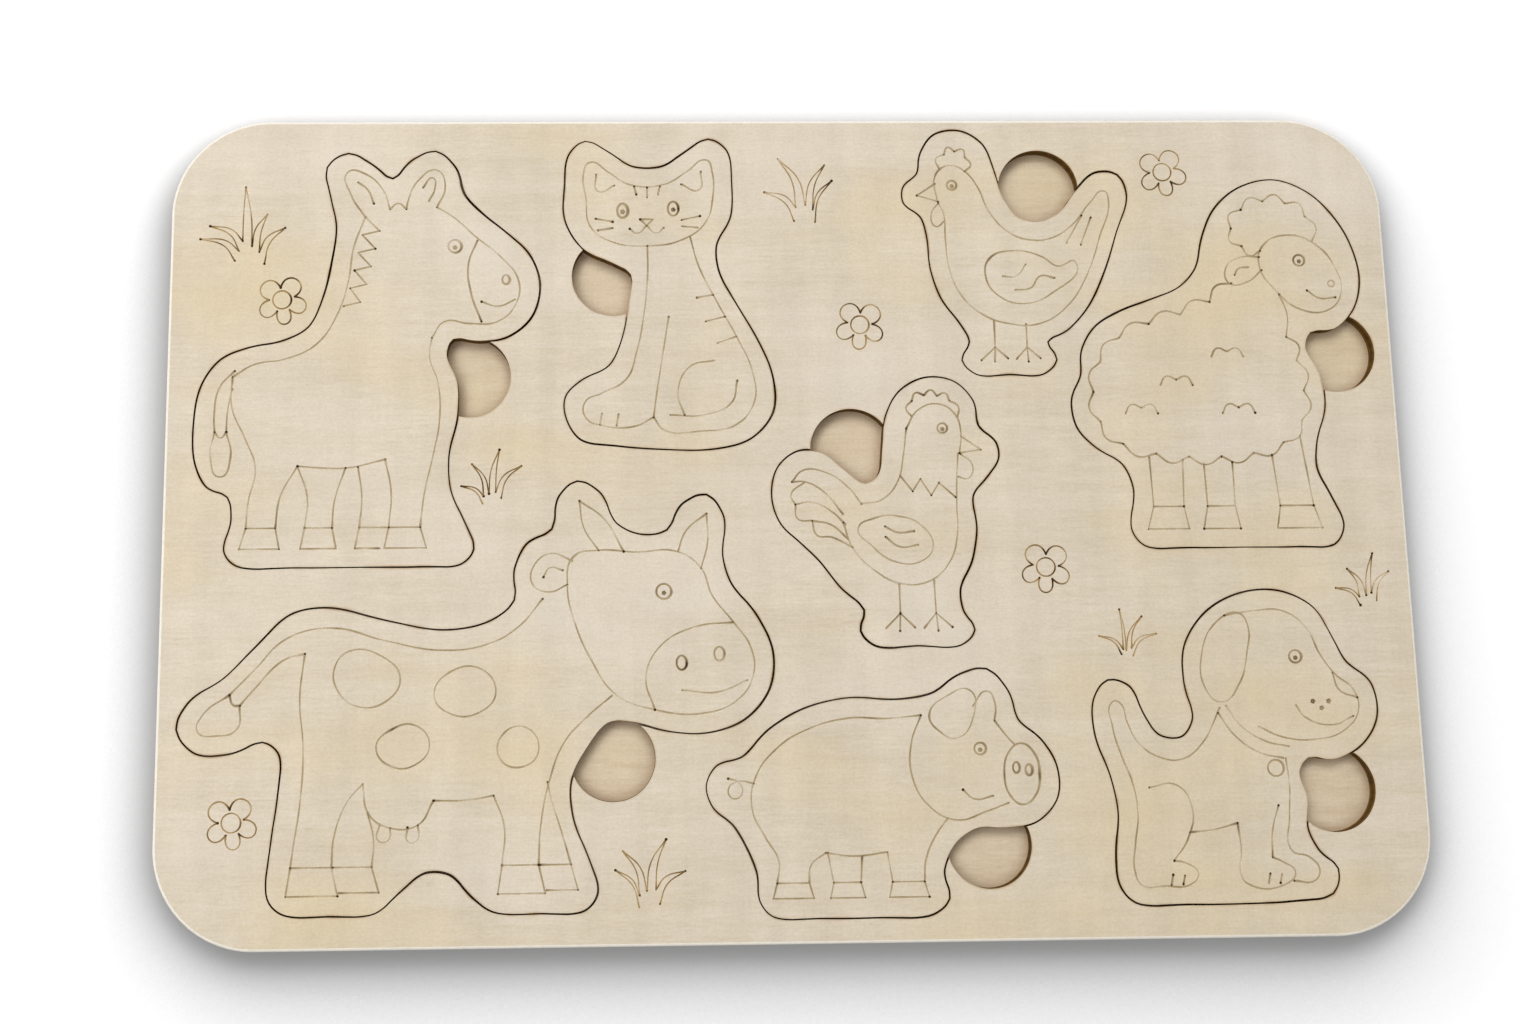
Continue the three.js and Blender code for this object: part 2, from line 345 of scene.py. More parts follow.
        loop((93, 83), (91.5, 76), (93, 68), (97, 58.5), (103, 50), (112, 46.5), (123, 45.5), (131.5, 48.5),
             (135.5, 54.5), (135, 61), (131, 67), (126, 73.5), (123.5, 80), (118, 84), (108, 84),
             (99, 84.5)),
        curve((131, 67), (122, 66), (113.5, 61.5), (110, 54), (112, 46.5)),
        ring(127.5, 59.5, 1.2, 1.4),
        ring(118.5, 57.5, 1.2, 1.4),
        curve((134, 53.2), (127, 50.5), (118.5, 51)),
        *eye(114.5, 74.5, 1.8),
        curve((99, 84.5), (95.5, 90), (94.5, 96.5)),
        curve((94.5, 96.5), (100.5, 92), (105, 84.2)),
        curve((118, 84), (120, 89), (125, 93.2)),
        curve((125, 93.2), (125.2, 86.5), (123.5, 80)),
        curve((92.8, 82), (87.5, 83.8), (83.6, 81), (83.2, 76.5), (87, 74.6), (91.6, 76.4)),
        curve((90.4, 79.8), (87.4, 80.4), (85.8, 78.2)),
        loop((40, 61), (48, 59.5), (52, 54.5), (48.5, 49), (42, 48), (37.5, 51.5), (36.5, 57)),
        loop((64, 56), (71, 56.5), (74.5, 51), (71, 46.5), (64, 46), (60, 50.5)),
        loop((50, 42.5), (55.5, 43.5), (59, 39), (56, 34.5), (50, 34), (46.5, 38.5)),
        loop((76.5, 41.5), (82, 42.5), (84.5, 37), (80.5, 33.5), (75.5, 35.5)),
    ],
    "pig": [
        curve((51, 46.5), (43, 45.8), (34, 46), (24, 43.5), (16.5, 39), (11.5, 32.5), (10.5, 25),
              (13.5, 18.5), (16.5, 13), (16, 8)),
        straight((16, 8), (15, 4.5), (24.5, 4.5), (23.5, 8), (16, 8)),
        curve((23.5, 8), (24, 12), (27.5, 14.8)),
        straight((28, 14.8), (29.2, 8), (28.4, 4.5), (36.5, 4.5), (35.6, 8), (36, 13.9)),
        straight((29.2, 8), (35.6, 8)),
        curve((27.5, 14.8), (34, 14), (42, 14.8)),
        straight((42, 14.8), (43, 8), (42.2, 4.5), (51.5, 4.5), (50.5, 8)),
        curve((50.5, 8), (51, 13), (53.5, 18.5), (56.5, 22.4)),
        straight((43, 8), (50.5, 8)),
        curve((51, 46.5), (48.5, 40), (48.5, 32), (52, 25.5), (58.5, 22), (66, 24), (71, 25.8)),
        curve((68.5, 45), (71.5, 41), (73, 39.4)),
        ring(74.5, 32.5, 4.2, 1.7),
        ring(73.2, 34, 0.8, 1.6),
        ring(76.2, 33.4, 0.8, 1.6),
        loop((53, 46.5), (57.5, 51), (63, 52.2), (63.5, 46), (59.5, 41), (55.5, 42.5)),
        curve((63.5, 48.5), (67, 52), (68.8, 49), (68.5, 45)),
        *eye(64.8, 38.5, 1.4),
        curve((67.5, 27.5), (63, 26.8), (60.3, 29)),
        curve((11, 31), (7.5, 31.5), (5, 29.8), (6, 27.6), (8.2, 28.6), (7.6, 31.2), (5, 32.2)),
    ],
    "dog": [
        curve((33, 67.5), (40, 68.5), (47, 68.5), (52.5, 64.5), (55.5, 58), (59, 53), (63, 49.5),
              (63.8, 44.5), (60, 39.8), (53, 37.8), (45, 38.5), (39.5, 41)),
        loop((36.5, 68), (30.5, 65.5), (27, 58.5), (27.2, 50.5), (31, 46.8), (35.5, 51), (38, 59),
             (38.5, 65)),
        curve((58.2, 53.6), (59.6, 49.4), (63.8, 47.6)),
        *eye(49.5, 57.5, 1.5),
        curve((62.5, 43.2), (57.5, 41.2), (51, 43), (48.8, 46)),
        ring(55, 45.2, 0.35),
        ring(53, 46.8, 0.35),
        ring(56.8, 46.8, 0.35),
        curve((32, 46), (35.5, 41), (41, 37.5), (46.5, 36.2)),
        curve((30, 44.3), (33.8, 38.8), (39.5, 34.8), (45, 33.5)),
        ring(43, 31.2, 1.9),
        curve((30.5, 45.5), (26, 37.5), (21, 33.6), (15.5, 34), (10.5, 37.5), (8.2, 42), (6.5, 47),
              (4.8, 47.2), (4.6, 41), (6.5, 34), (8.5, 28.5), (9.5, 21), (8.5, 14), (8, 8), (9.5, 4.5),
              (15, 4.2), (21, 4.5), (23, 7), (20, 9.5), (17.5, 10)),
        curve((12.5, 27), (19, 27.5), (22.5, 22), (21, 15), (17.5, 10)),
        curve((16.5, 4.4), (17, 6.8)),
        curve((19.3, 4.6), (19.8, 6.6)),
        curve((21.5, 16.5), (27, 17), (33, 18.5)),
        curve((33, 18.5), (33.5, 12), (33, 7), (34.5, 4.5), (44, 4.5), (46, 7), (43, 9.5), (40.8, 10.5)),
        curve((40.8, 10.5), (41.3, 17), (43, 22.5)),
        curve((45.5, 33.5), (46, 27), (45.5, 20), (45.5, 12), (49.5, 10.5), (51.8, 7.5), (50.5, 5),
              (45.6, 5)),
        curve((39.5, 4.5), (40, 6.8)),
        curve((42.3, 4.6), (42.8, 6.6)),
    ],
}


# Short ways to build node trees

def linear(colour: Colour) -> tuple[float, ...]:
    """Turns a colour as a screen shows it into the linear one with alpha that shaders take."""
    shown = (value / 255 for value in colour)
    return (*(part / 12.92 if part <= 0.04045 else ((part + 0.055) / 1.055) ** 2.4 for part in shown), 1.0)


class Nodes:
    """A short way to add, set and join the nodes of one tree."""

    def __init__(self, tree: NodeTree) -> None:
        """Starts on an empty tree."""
        self.tree = tree
        tree.nodes.clear()

    def add(self, kind: str, inputs: Inputs | None = None, **options: Any) -> Node:
        """Adds one node.

        Args:
            kind: The node's type.
            inputs: Values, output sockets or lists of them, by the input's identifier, name or place.
            options: The node's own settings, which are set before its inputs.

        Returns:
            The node.
        """
        node = self.tree.nodes.new(kind)
        for option, value in options.items():
            setattr(node, option, value)
        for key, value in (inputs or {}).items():
            named = [socket for socket in node.inputs if socket.identifier == key]
            socket = named[0] if named else node.inputs[key]
            for part in value if isinstance(value, list) else [value]:
                if isinstance(part, Socket):
                    self.tree.links.new(part, socket)
                else:
                    socket.default_value = part
        return node

    def shader(self, kind: str, inputs: Inputs | None = None, output: Key = 0, **options: Any) -> Socket:
        """One output of a new shader node, whose type is named without its first words."""
        return self.add("ShaderNode" + kind, inputs, **options).outputs[output]

    def geometry(self, kind: str, inputs: Inputs | None = None, output: Key = 0, **options: Any) -> Socket:
        """One output of a new geometry node, whose type is named without its first words."""
        return self.add("GeometryNode" + kind, inputs, **options).outputs[output]

    def math(self, operation: str, *values: Any) -> Socket:
        """One sum on numbers or sockets."""
        return self.shader("Math", dict(enumerate(values)), operation=operation)

    def times(self, first: Any, second: Any) -> Socket:
        """The product of two numbers or sockets."""
        return self.math("MULTIPLY", first, second)

    def random(self, low: Socket, high: Socket, seed: Socket) -> Socket:
        """A random number for each point."""
        inputs = {"Min_001": low, "Max_001": high, "Seed": seed}
        return self.add("FunctionNodeRandomValue", inputs, data_type="FLOAT").outputs[1]

    def vector(self, x: Any = 0.0, y: Any = 0.0, z: Any = 0.0) -> Socket:
        """A vector made of numbers or sockets."""
        return self.shader("CombineXYZ", {0: x, 1: y, 2: z})

    def between(self, value: Any, low: Any, high: Any, out: tuple[Any, Any] = (0.0, 1.0)) -> Socket:
        """A value's place between two others, clamped and scaled to a new range."""
        inputs = {"Value": value, "From Min": low, "From Max": high, "To Min": out[0], "To Max": out[1]}
        return self.shader("MapRange", inputs)

    def mix(self, share: Any, first: Any, second: Any, blend: str = "MIX") -> Socket:
        """A mix of two colours.

        Args:
            share: The second colour's share.
            first: A socket, or a colour as a screen shows it.
            second: A socket, or a colour as a screen shows it.
            blend: How the second colour goes over the first.

        Returns:
            The mixed colour.
        """
        inputs = {"Factor_Float": share}
        for key, colour in (("A_Color", first), ("B_Color", second)):
            inputs[key] = linear(colour) if isinstance(colour, tuple) else colour
        node = self.add("ShaderNodeMix", inputs, data_type="RGBA", blend_type=blend)
        return next(socket for socket in node.outputs if socket.identifier == "Result_Color")


def new_material(name: str) -> tuple[Material, Nodes, Socket]:
    """Starts a material.

    Args:
        name: Its name.

    Returns:
        The material, its nodes, and the socket of the point in the object.
    """
    made = bpy.data.materials.new(name)
    made.use_nodes = True
    nodes = Nodes(made.node_tree)
    return made, nodes, nodes.shader("TexCoord", output="Object")


# Finishes

class Finish(Enum):
    """The finishes of a sheet, in the order of its material slots."""

    FACE = 0
    BURNT_CUT = 1
    SANDED_EDGE = 2


class Slot(Enum):
    """The record's material slots."""

    BACKING = "backing_plywood"
    FRAME = "frame_plywood"
    PIECE = "piece_plywood"


@dataclass(frozen=True)
class Layer:
    """One noise in the wood, with its features in each metre, its octaves and where it starts.

    The span is the part of the noise that counts, and out is the range that this part is scaled to.
    """

    scale: Triple
    detail: float
    seed: float = 0.0
    span: Point = NOISE_SPAN
    out: Point = (0.0, 1.0)
    roughness: float = 0.6

    def noise(self, nodes: Nodes, place: Socket) -> Socket:
        """The plain noise.

        Args:
            nodes: The material's nodes.
            place: The point in the object.

        Returns:
            The noise, about 0.3 to 0.7.
        """
        inputs = {"Vector": place, "Scale": self.scale, "Location": (self.seed, self.seed, self.seed)}
        stretched = nodes.shader("Mapping", inputs)
        values = {"Vector": stretched, "Scale": 1.0, "Detail": self.detail, "Roughness": self.roughness}
        return nodes.shader("TexNoise", values)

    def scaled(self, nodes: Nodes, noise_value: Socket) -> Socket:
        """The noise scaled to the layer's range."""
        return nodes.between(noise_value, *self.span, self.out)


@dataclass(frozen=True, kw_only=True)
class PlywoodFinish:
    """A finish of the plywood, with a colour, and a fine relief that shows as strongly as its grit."""

    name: str
    roughness: float
    specular: float
    relief: float
    grit: float

    def dress(self, nodes: Nodes, place: Socket) -> tuple[Socket, Socket]:
        """The colour and the height at a point, which each finish has its own way to give."""
        raise NotImplementedError

    def material(self) -> Material:
        """Builds the finish.

        Returns:
            The material.
        """
        made, nodes, place = new_material(self.name)
        wood, height = self.dress(nodes, place)
        bump = nodes.shader("Bump", {"Height": height, "Strength": self.grit, "Distance": self.relief})
        values = {"Base Color": wood, "Roughness": self.roughness, "Specular IOR Level": self.specular,
                  "Normal": bump}
        nodes.add("ShaderNodeOutputMaterial", {"Surface": nodes.shader("BsdfPrincipled", values)})
        return made


@dataclass(frozen=True, kw_only=True)
class PlywoodFace(PlywoodFinish):
    """Sanded pale plywood, with fine grain along X, and burnt where the laser has engraved it.

    It reads the attributes burn and scorch where a mesh has them.
    """

    roughness: float = 0.62
    specular: float = 0.25
    relief: float = 0.06 * MM
    grit: float = 0.25
    pale: Colour = (232, 220, 201)
    deep: Colour = (214, 198, 172)
    flush: Colour = (230, 218, 200)
    honey: Colour = (225, 208, 173)
    scorch: Colour = (176, 138, 86)
    line: Colour = (178, 158, 122)
    pit: Colour = (54, 34, 10)
    # The colour of the painted shade in corners, warm brown like light bounced off the burnt walls.
    smoke: Colour = (140, 98, 52)
    fibre: Layer = Layer((170, 1500, 1500), 3.0, out=(0.0, 0.45))
    streak: Layer = Layer((12, 260, 260), 3.0, 3.0, out=(0.075, 0.475))
    cloud: Layer = Layer((16, 26, 26), 2.0, 7.0)
    cloud_share: float = 0.8
    bands: Layer = Layer((130, 6, 6), 1.0, 11.0, out=(0.968, 1.028))
    pores: Layer = Layer((260, 2600, 2600), 1.0, 17.0, (0.64, 0.76), (1.0, 0.93))
    weave: Layer = Layer((1300, 70, 70), 2.0, 13.0, out=(0.988, 1.01))
    mottle: Layer = Layer((110, 90, 90), 3.0, 29.0, out=(0.968, 1.032))
    speckle: Layer = Layer((1500, 1700, 1700), 1.0, 31.0, out=(0.958, 1.042))
    uneven: Layer = Layer((150, 150, 150), 2.0, 23.0)
    scorch_span: Point = (0.4, 0.7)
    scorch_share: Point = (0.05, 0.75)
    heat_span: Point = (0.33, 0.67)
    heat_swing: Point = (0.4, 1.5)
    line_heat: Point = (0.02, 0.34)
    pit_heat: Point = (0.42, 0.9)
    # Painted shade in the corners of the upper face: how far it reaches, where the occlusion starts and
    # ends, and its largest share.
    smoke_reach: float = 0.0
    smoke_openness: Point = (0.97, 0.45)
    smoke_share: float = 0.36
    upper_slope: Point = (0.4, 0.6)

    def dress(self, nodes: Nodes, place: Socket) -> tuple[Socket, Socket]:
        """The wood's colour, stained, darkened by painted shade in its corners where the sheet has it, and
        burnt, and the height of its fibres.

        Args:
            nodes: The material's nodes.
            place: The point in the object.

        Returns:
            The colour and the height.
        """
        fibre = self.fibre.noise(nodes, place)
        streak = self.streak.noise(nodes, place)
        cloud = self.cloud.noise(nodes, place)
        grain = nodes.math("ADD", self.fibre.scaled(nodes, fibre), self.streak.scaled(nodes, streak))
        wood = nodes.mix(grain, self.pale, self.deep)
        for end, tone in ((NOISE_SPAN[1], self.flush), (NOISE_SPAN[0], self.honey)):
            share = nodes.between(cloud, NOISE_MIDDLE, end, (0.0, self.cloud_share))
            wood = nodes.mix(share, wood, tone)
        shade = 1.0
        for layer in (self.bands, self.pores, self.weave, self.mottle, self.speckle):
            shade = nodes.times(shade, layer.scaled(nodes, layer.noise(nodes, place)))
        wood = nodes.mix(1.0, wood, shade, "MULTIPLY")
        # Painted shade: the upper face turns warm brown towards nearby walls, where their shade falls.
        if self.smoke_reach > 0:
            wood = nodes.mix(self.soot(nodes), wood, self.smoke)
        return self.burnt(nodes, wood, self.uneven.noise(nodes, place)), fibre

    def soot(self, nodes: Nodes) -> Socket:
        """The share of painted shade: a warm brown laid on the upper face where walls close it in, standing
        in for their shade and the warm light bounced off the burnt walls.

        Args:
            nodes: The material's nodes.

        Returns:
            The share.
        """
        facing = nodes.shader("NewGeometry", output="True Normal")
        upper = nodes.shader("SeparateXYZ", {0: facing}, 2)
        corner = nodes.shader("AmbientOcclusion", {"Distance": self.smoke_reach}, "AO")
        painted_share = nodes.between(corner, *self.smoke_openness, (0.0, self.smoke_share))
        return nodes.times(nodes.between(upper, *self.upper_slope), painted_share)

    def burnt(self, nodes: Nodes, wood: Socket, uneven: Socket) -> Socket:
        """Burns the rims of cuts, the engraved lines and their pits into the wood.

        Args:
            nodes: The material's nodes.
            wood: The colour of the wood.
            uneven: The noise that makes the burn uneven.

        Returns:
            The burnt colour.
        """
        edge = nodes.shader("Attribute", output="Fac", attribute_name="scorch")
        burn = nodes.shader("Attribute", output="Fac", attribute_name="burn")
        edge = nodes.times(edge, nodes.between(uneven, *self.scorch_span, self.scorch_share))
        heat = nodes.times(burn, nodes.between(uneven, *self.heat_span, self.heat_swing))
        wood = nodes.mix(edge, wood, self.scorch)
        wood = nodes.mix(nodes.between(heat, *self.line_heat), wood, self.line)
        return nodes.mix(nodes.between(heat, *self.pit_heat), wood, self.pit)


@dataclass(frozen=True, kw_only=True)
class PlyEdge(PlywoodFinish):
    """The three plies of a sheet seen from its side, burnt by the laser or sanded clean.

    The glue lies a share of the sheet's thickness from its middle, and the plies' colours meet at its seam.
    """

    roughness: float = 0.75
    specular: float = 0.2
    relief: float = 0.1 * MM
    outer_ply: Colour
    inner_ply: Colour
    glue: Colour
    glue_place: float = 0.16
    glue_width: float = 0.025
    glue_share: float = 0.6
    seam: float = 0.01
    dust: Layer = Layer((900, 900, 160), 3.0, roughness=0.5)

    def dress(self, nodes: Nodes, place: Socket) -> tuple[Socket, Socket]:
        """The plies' colour, which repeats with each sheet's thickness, and the height of their grit.

        Args:
            nodes: The material's nodes.
            place: The point in the object.

        Returns:
            The colour and the height.
        """
        height = nodes.shader("SeparateXYZ", {0: place}, 2)
        ply = nodes.math("FRACT", nodes.math("DIVIDE", height, SHEET_THICKNESS))
        away = nodes.math("ABSOLUTE", nodes.math("SUBTRACT", ply, 0.5))
        outer = nodes.between(away, self.glue_place - self.seam, self.glue_place + self.seam)
        wood = nodes.mix(outer, self.inner_ply, self.outer_ply)
        from_glue = nodes.math("ABSOLUTE", nodes.math("SUBTRACT", away, self.glue_place))
        glued = nodes.between(from_glue, 0.0, self.glue_width, (self.glue_share, 0.0))
        wood = nodes.mix(glued, wood, self.glue)
        dust = self.dust.noise(nodes, place)
        shade = nodes.between(dust, *self.dust.span, (1 - self.grit, 1 + self.grit))
        return nodes.mix(1.0, wood, shade, "MULTIPLY"), dust


# The laser's tracks, swept along strokes by Geometry Nodes

@dataclass(frozen=True)
class TreeSizes:
    """Sizes that a tree takes as its named inputs."""

    def sizes(self) -> dict[str, float]:
        """The sizes by the names of the trees' inputs."""
        return {name.replace("_", " ").capitalize(): value for name, value in vars(self).items()}


@dataclass(frozen=True)
class Laser(TreeSizes):
    """Sizes of the engraved line, and of the pit where the laser stops or turns.

    The line is scaled from weakest to strongest in patches, so many to the metre, and by the dwell swell
    more within the dwell reach of its ends. The pit's floor is a share of its width.
    """

    line_width: float = 0.5 * MM
    line_depth: float = 0.12 * MM
    step: float = 0.5 * MM
    patches: float = 110.0
    weakest: float = 0.78
    strongest: float = 1.3
    dwell_reach: float = 2.2 * MM
    dwell_swell: float = 0.35
    pit_width: float = 0.78 * MM
    pit_depth: float = 0.3 * MM
    pit_floor: float = 0.56
    pit_sides: int = 8
    smallest_pit: float = 0.4
    largest_pit: float = 1.05
    seed: int = 4


@dataclass(frozen=True)
class Flower(TreeSizes):
    """Sizes of an engraved flower, whose upper petals are widened by the crown's turn at its sides."""

    petals: int = 5
    petal_steps: int = 20
    petal_reach: float = 7.4 * MM
    petal_swell: float = 3.5 * MM
    cusp_radius: float = 3.1 * MM
    ring_radius: float = 2.25 * MM
    ring_steps: int = 28
    crown: float = 0.2
    lean_right: float = -0.11
    lean_left: float = 0.23


class TrackTrees:
    """The Geometry Nodes trees that sweep V-shaped tracks along strokes and flowers."""

    def __init__(self) -> None:
        """Builds the shared group first, because both trees use it."""
        self.groove = self.groove_group()
        self.strokes = self.stroke_tree()
        self.flowers = self.flower_tree()

    @staticmethod
    def start(name: str, sizes: dict[str, float], others: dict[str, str]) -> tuple[Nodes, dict[str, Socket]]:
        """Starts a tree that takes and gives geometry.

        Args:
            name: The tree's name.
            sizes: The sizes that it takes, with whole numbers as integers.
            others: The names and types of its other inputs.

        Returns:
            The tree's nodes, and its inputs' sockets by name.
        """
        tree = bpy.data.node_groups.new(name, "GeometryNodeTree")
        kinds = {"Geometry": "NodeSocketGeometry"}
        for size, value in sizes.items():
            kinds[size] = "NodeSocketInt" if isinstance(value, int) else "NodeSocketFloat"
        for socket, kind in (kinds | others).items():
            tree.interface.new_socket(socket, in_out="INPUT", socket_type=kind)
        tree.interface.new_socket("Geometry", in_out="OUTPUT", socket_type="NodeSocketGeometry")
        nodes = Nodes(tree)
        return nodes, {socket.name: socket for socket in nodes.add("NodeGroupInput").outputs if socket.name}

    def groove_group(self) -> NodeTree:
        """A V-shaped track along each curve, with a pit at its ends and corners.

        Returns:
            The group.
        """
        nodes, given = self.start("laser_groove", Laser().sizes(), {})
        inputs = {"Curve": given["Geometry"], "Length": given["Step"]}
        stepped = nodes.geometry("ResampleCurve", inputs, mode="LENGTH")
        upright = nodes.geometry("SetCurveNormal", {"Curve": stepped}, mode="Z_UP")
        half = nodes.times(given["Line width"], 0.5)
        inputs = {"Resolution": 2, "Start": nodes.vector(nodes.times(half, -1.0)), "End": nodes.vector(half),
                  "Middle": nodes.vector(y=nodes.times(given["Line depth"], 2.0))}
        section = nodes.geometry("CurveQuadraticBezier", inputs)
        inputs = {"Curve": upright, "Profile Curve": section, "Scale": self.strength(nodes, given)}
        track = nodes.geometry("CurveToMesh", inputs)
        both = nodes.geometry("JoinGeometry", {0: [track, self.pits(nodes, given)]})
        nodes.add("NodeGroupOutput", {0: both})
        return nodes.tree

    @staticmethod
    def strength(nodes: Nodes, given: dict[str, Socket]) -> Socket:
        """How strongly the laser burns along a stroke: unevenly, and more where it starts and stops.

        Args:
            nodes: The tree's nodes.
            given: The tree's inputs.

        Returns:
            The scale of the track's section.
        """
        values = {"Vector": nodes.geometry("InputPosition"), "Scale": given["Patches"], "Detail": 2.0}
        patchy = nodes.shader("TexNoise", values)
        along = nodes.geometry("SplineParameter", output="Length")
        left = nodes.math("SUBTRACT", nodes.geometry("SplineLength"), along)
        nearer = nodes.math("MINIMUM", along, left)
        dwell = nodes.between(nearer, 0.0, given["Dwell reach"], (given["Dwell swell"], 0.0))
        uneven = nodes.between(patchy, *NOISE_SPAN, (given["Weakest"], given["Strongest"]))
        return nodes.times(nodes.math("ADD", uneven, dwell), nodes.geometry("InputRadius"))

    @staticmethod
    def pits(nodes: Nodes, given: dict[str, Socket]) -> Socket:
        """A pit at each end and corner of the curves.

        Args:
            nodes: The tree's nodes.
            given: The tree's inputs.

        Returns:
            The pits.
        """
        choice = "FunctionNodeBooleanMath"
        inputs = {0: nodes.geometry("CurveEndpointSelection"), 1: nodes.geometry("InputSplineCyclic")}
        stop = nodes.add(choice, inputs, operation="NIMPLY").outputs[0]
        corner = nodes.geometry("CurveHandleTypeSelection", handle_type="VECTOR")
        dwell = nodes.add(choice, {0: stop, 1: corner}, operation="OR").outputs[0]
        radius = nodes.times(given["Pit width"], 0.5)
        inputs = {"Vertices": given["Pit sides"], "Radius Top": radius,
                  "Radius Bottom": nodes.times(radius, given["Pit floor"]), "Depth": given["Pit depth"]}
        cone = nodes.geometry("MeshCone", inputs, fill_type="NGON")
        down = nodes.vector(z=nodes.times(given["Pit depth"], -1.0))
        pit = nodes.geometry("Transform", {"Geometry": cone, "Translation": down})
        size = nodes.random(given["Smallest pit"], given["Largest pit"], given["Seed"])
        inputs = {"Points": given["Geometry"], "Selection": dwell, "Instance": pit, "Scale": size}
        return nodes.geometry("InstanceOnPoints", inputs)

    def finish(self, nodes: Nodes, curves: Socket, given: dict[str, Socket]) -> NodeTree:
        """Ends a tree: the curves get their grooves, are made real and take the finish.

        Args:
            nodes: The tree's nodes.
            curves: The curves that the laser follows.
            given: The tree's inputs.

        Returns:
            The tree.
        """
        inputs = {"Geometry": curves} | {size: given[size] for size in Laser().sizes()}
        tracks = nodes.geometry("Group", inputs, node_tree=self.groove)
        real = nodes.geometry("RealizeInstances", {"Geometry": tracks})
        dressed = nodes.geometry("SetMaterial", {"Geometry": real, "Material": given["Finish"]})
        nodes.add("NodeGroupOutput", {0: dressed})
        return nodes.tree

    def stroke_tree(self) -> NodeTree:
        """Tracks along the strokes of another object.

        Returns:
            The tree.
        """
        others = {"Strokes": "NodeSocketObject", "Finish": "NodeSocketMaterial"}
        nodes, given = self.start("stroke_tracks", Laser().sizes(), others)
        inputs = {"Object": given["Strokes"]}
        drawn = nodes.geometry("ObjectInfo", inputs, "Geometry", transform_space="RELATIVE")
        return self.finish(nodes, drawn, given)

    def flower_tree(self) -> NodeTree:
        """Tracks of a flower at each point of the object.

        Returns:
            The tree.
        """
        sizes = Laser().sizes() | Flower().sizes()
        nodes, given = self.start("flower_tracks", sizes, {"Finish": "NodeSocketMaterial"})
        share = nodes.math("DIVIDE", math.pi, given["Petals"])
        foot_x = nodes.times(given["Cusp radius"], nodes.math("COSINE", share))
        foot_y = nodes.times(given["Cusp radius"], nodes.math("SINE", share))
        reach = given["Petal reach"]
        swell = given["Petal swell"]
        inputs = {"Resolution": given["Petal steps"], "End": nodes.vector(foot_x, foot_y),
                  "Start": nodes.vector(foot_x, nodes.times(foot_y, -1.0)),
                  "Start Handle": nodes.vector(reach, nodes.times(swell, -1.0)),
                  "End Handle": nodes.vector(reach, swell)}
        petal = nodes.geometry("CurvePrimitiveBezierSegment", inputs)
        turn = nodes.times(nodes.geometry("InputIndex"), nodes.times(share, 2.0))
        turn = nodes.math("SUBTRACT", turn, math.pi / 2)
        points = nodes.geometry("Points", {"Count": given["Petals"]})
        inputs = {"Points": points, "Instance": petal, "Rotation": nodes.vector(z=turn)}
        petals = nodes.geometry("InstanceOnPoints", inputs)
        inputs = {"Resolution": given["Ring steps"], "Radius": given["Ring radius"]}
        middle = nodes.geometry("CurvePrimitiveCircle", inputs)
        flower = nodes.geometry("JoinGeometry", {0: [petals, middle]})
        flower = self.crowned(nodes, flower, given["Crown"])
        lean = nodes.random(given["Lean right"], given["Lean left"], given["Seed"])
        inputs = {"Points": given["Geometry"], "Instance": flower, "Rotation": nodes.vector(z=lean)}
        bed = nodes.geometry("InstanceOnPoints", inputs)
        real = nodes.geometry("RealizeInstances", {"Geometry": bed})
        drawn = nodes.geometry("SetCurveRadius", {"Curve": real, "Radius": 1.0})
        return self.finish(nodes, drawn, given)

    @staticmethod
    def crowned(nodes: Nodes, flower: Socket, crown: Socket) -> Socket:
        """Widens the petals at a flower's top and narrows the lowest one, by a turn round its middle.

        Args:
            nodes: The tree's nodes.
            flower: The even flower.
            crown: The turn at the flower's sides, in radians.

        Returns:
            The uneven flower.
        """
        real = nodes.geometry("RealizeInstances", {"Geometry": flower})
        fine = nodes.geometry("ResampleCurve", {"Curve": real}, mode="EVALUATED")
        place = nodes.geometry("InputPosition")
        right = nodes.shader("SeparateXYZ", {0: place})
        away = nodes.shader("VectorMath", {0: place}, "Value", operation="LENGTH")
        turn = nodes.times(nodes.math("DIVIDE", right, away), nodes.times(crown, -1.0))
        turned = nodes.shader("VectorRotate", {"Vector": place, "Angle": turn}, rotation_type="Z_AXIS")
        return nodes.geometry("SetPosition", {"Geometry": fine, "Position": turned})


def placed(name: str, data: ID) -> Object:
    """Puts a new object in the scene.

    Args:
        name: Its name.
        data: What it shows.

    Returns:
        The object.
    """
    made = bpy.data.objects.new(name, data)
    bpy.context.scene.collection.objects.link(made)
    return made


def run_tree(name: str, mesh: Mesh, tree: NodeTree,
             inputs: dict[str, Any]) -> Mesh:
    """Runs a tree on a helper object and keeps the result as a plain mesh.

    Args:
        name: The helper's name.
        mesh: What the tree starts from.
        tree: The tree.
        inputs: Values by the names of the tree's inputs.

    Returns:
        The plain mesh.
    """
    helper = placed(name, mesh)
    modifier = helper.modifiers.new(name, "NODES")
    modifier.node_group = tree
    for socket in tree.interface.items_tree:
        if socket.in_out == "INPUT" and socket.name in inputs:
            modifier[socket.identifier] = inputs[socket.name]
    evaluated = helper.evaluated_get(bpy.context.evaluated_depsgraph_get())
    made = bpy.data.meshes.new_from_object(evaluated)
    helper.modifiers.remove(modifier)
    bpy.data.objects.remove(helper)
    return made


